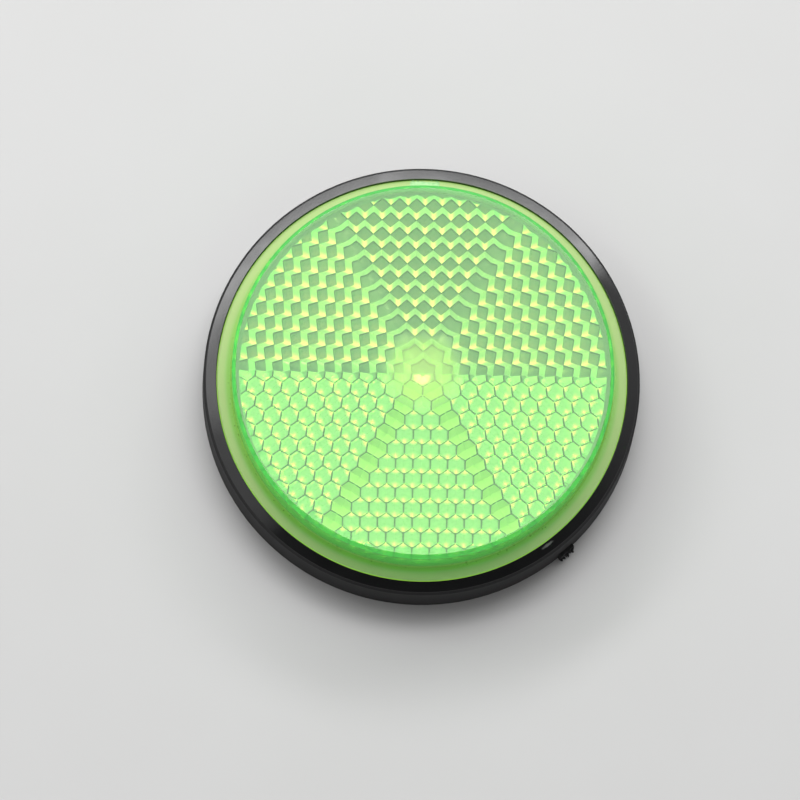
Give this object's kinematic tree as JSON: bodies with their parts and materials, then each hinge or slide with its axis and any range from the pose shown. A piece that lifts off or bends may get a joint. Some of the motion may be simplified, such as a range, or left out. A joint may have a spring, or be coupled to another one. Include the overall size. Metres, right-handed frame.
{
  "type": "round safety reflector",
  "caption": "Round bicycle reflector: a raised green prismatic lens welded into a black housing with a ribbed hollow back and a central screw boss.",
  "frame": {"origin": "centre of the back plane, on the axis of the screw hole", "axes": "+Z out of the lens face along the round's axis, +X along the rows of prisms in the upper and lower sectors, +Y towards the lens gate"},
  "size_m": [0.06, 0.06, 0.0131],
  "materials": {
    "lens": "clear moulded acrylic dyed green",
    "housing": "moulded black ABS with a fine satin texture"
  },
  "bodies": {
    "root": {"lens": "lens", "housing": "housing"}
  },
  "joints": []
}
